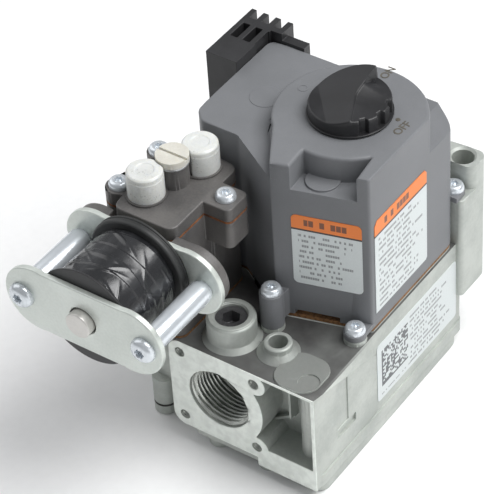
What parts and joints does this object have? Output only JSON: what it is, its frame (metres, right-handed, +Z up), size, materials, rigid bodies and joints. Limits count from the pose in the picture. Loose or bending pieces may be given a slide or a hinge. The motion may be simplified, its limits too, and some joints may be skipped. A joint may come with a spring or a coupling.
{
  "type": "gas valve",
  "caption": "Two-stage combination gas valve: cast body with threaded ports, plastic control cover with knob, servo regulator and side coil.",
  "frame": {"origin": "centre of the front gas port on its machined face", "axes": "+X to the right seen from the front, +Y back along the gas flow axis, +Z up, away from the underside"},
  "size_m": [0.1069, 0.1702, 0.1394],
  "materials": {
    "cast_body": "die cast, machined faces",
    "cast_regulator": "die cast, dull",
    "grey_plastic": "fine moulded grain",
    "black_plastic": "moulded",
    "natural_plastic": "moulded",
    "milky_plastic": "translucent moulded",
    "rubber": "smooth",
    "orange_rubber": "sheet",
    "gasket": "fibre sheet",
    "steel": "turned",
    "zinc_plate": "bright zinc plate",
    "zinc_screw": "bright zinc plate",
    "copper_coil": "enamelled wire",
    "tape": "glossy vinyl tape",
    "label": "coated printed label"
  },
  "bodies": {
    "body": {"valve_body": "cast_body", "bottom_cover": "cast_body", "bottom_screws": "zinc_screw", "main_diaphragm": "rubber", "main_spring": "steel", "inlet_screen": "steel", "tap_plug": "steel", "body_gasket": "gasket", "top_plate": "zinc_plate", "safety_coil": "copper_coil", "safety_frame": "zinc_plate", "safety_tube": "steel", "safety_spring": "steel", "operator_coil": "copper_coil", "operator_frame": "zinc_plate", "operator_spring": "steel", "cover": "grey_plastic", "cover_screws": "zinc_screw", "shaft_seal": "rubber", "safety_switch": "black_plastic", "terminal_block": "black_plastic", "terminal_pins": "zinc_plate", "front_label": "label", "side_label": "label", "body_label": "label", "regulator_base": "cast_regulator", "regulator_gasket": "gasket", "regulator_base_screws": "zinc_screw", "regulator_diaphragm": "orange_rubber", "regulator_housing": "cast_regulator", "regulator_screws": "zinc_screw", "high_spring": "steel", "low_spring": "steel", "coil_front_plate": "zinc_plate", "coil_rear_plate": "zinc_plate", "coil_spacers": "zinc_plate", "coil_bolts": "zinc_screw", "coil_bobbin": "black_plastic", "coil_winding": "tape", "coil_ring": "rubber", "pole_pin": "steel", "stage_spring": "steel"},
    "knob": {"control_knob": "black_plastic", "knob_shaft": "steel", "switch_cam": "natural_plastic"},
    "button": {"switch_button": "natural_plastic"},
    "safety_valve": {"safety_plunger": "steel", "safety_valve_disc": "rubber"},
    "operator_valve": {"operator_plunger": "steel"},
    "main_valve": {"main_valve_disc": "rubber", "valve_stem": "steel", "diaphragm_plate": "steel"},
    "servo_plate": {"regulator_plate": "steel"},
    "stage_valve": {"stage_plunger": "steel"},
    "cap_high": {"high_cap": "milky_plastic"},
    "cap_low": {"low_cap": "milky_plastic"},
    "plug": {"centre_plug": "milky_plastic"},
    "screw_high": {"high_adjuster": "natural_plastic"},
    "screw_low": {"low_adjuster": "natural_plastic"}
  },
  "joints": [
    {"name": "knob_turn", "type": "hinge", "parent": "body", "child": "knob", "pos_m": [0.0162, 0.07, 0.096], "axis": [0, 0, 1], "range_deg": [-90, 0]},
    {"name": "button_slide", "type": "slide", "parent": "body", "child": "button", "axis": [-1, 0, 0], "range_m": [0, 0.0012]},
    {"name": "safety_lift", "type": "slide", "parent": "body", "child": "safety_valve", "axis": [0, 0, 1], "range_m": [0, 0.0022], "stiffness_N_per_m": 200, "springref_m": -0.002, "deforming": ["safety_spring"]},
    {"name": "operator_lift", "type": "slide", "parent": "body", "child": "operator_valve", "axis": [0, 0, 1], "range_m": [0, 0.0012], "stiffness_N_per_m": 150, "springref_m": -0.002, "deforming": ["operator_spring"]},
    {"name": "main_lift", "type": "slide", "parent": "body", "child": "main_valve", "axis": [0, 0, 1], "range_m": [0, 0.003], "stiffness_N_per_m": 250, "springref_m": -0.003, "deforming": ["main_spring"]},
    {"name": "servo_lift", "type": "slide", "parent": "body", "child": "servo_plate", "axis": [0, 0, 1], "range_m": [0, 0.0008], "stiffness_N_per_m": 300, "springref_m": -0.001, "deforming": ["high_spring", "low_spring"]},
    {"name": "stage_pull", "type": "slide", "parent": "body", "child": "stage_valve", "axis": [0, -1, 0], "range_m": [0, 0.002], "stiffness_N_per_m": 200, "springref_m": -0.001},
    {"name": "high_cap_pull", "type": "slide", "parent": "body", "child": "cap_high", "axis": [0, 0, 1], "range_m": [0, 0.016]},
    {"name": "low_cap_pull", "type": "slide", "parent": "body", "child": "cap_low", "axis": [0, 0, 1], "range_m": [0, 0.016]},
    {"name": "plug_turn", "type": "hinge", "parent": "body", "child": "plug", "pos_m": [-0.0312, 0.0244, 0.09], "axis": [0, 0, 1], "continuous": true},
    {"name": "high_adjust", "type": "hinge", "parent": "body", "child": "screw_high", "pos_m": [-0.03526, 0.01279, 0.08], "axis": [0, 0, 1], "continuous": true},
    {"name": "low_adjust", "type": "hinge", "parent": "body", "child": "screw_low", "pos_m": [-0.02714, 0.03601, 0.08], "axis": [0, 0, 1], "continuous": true}
  ],
  "couplings": [
    {"joint": "button_slide", "follows": "knob_turn", "m_per_rad": -0.0007}
  ]
}
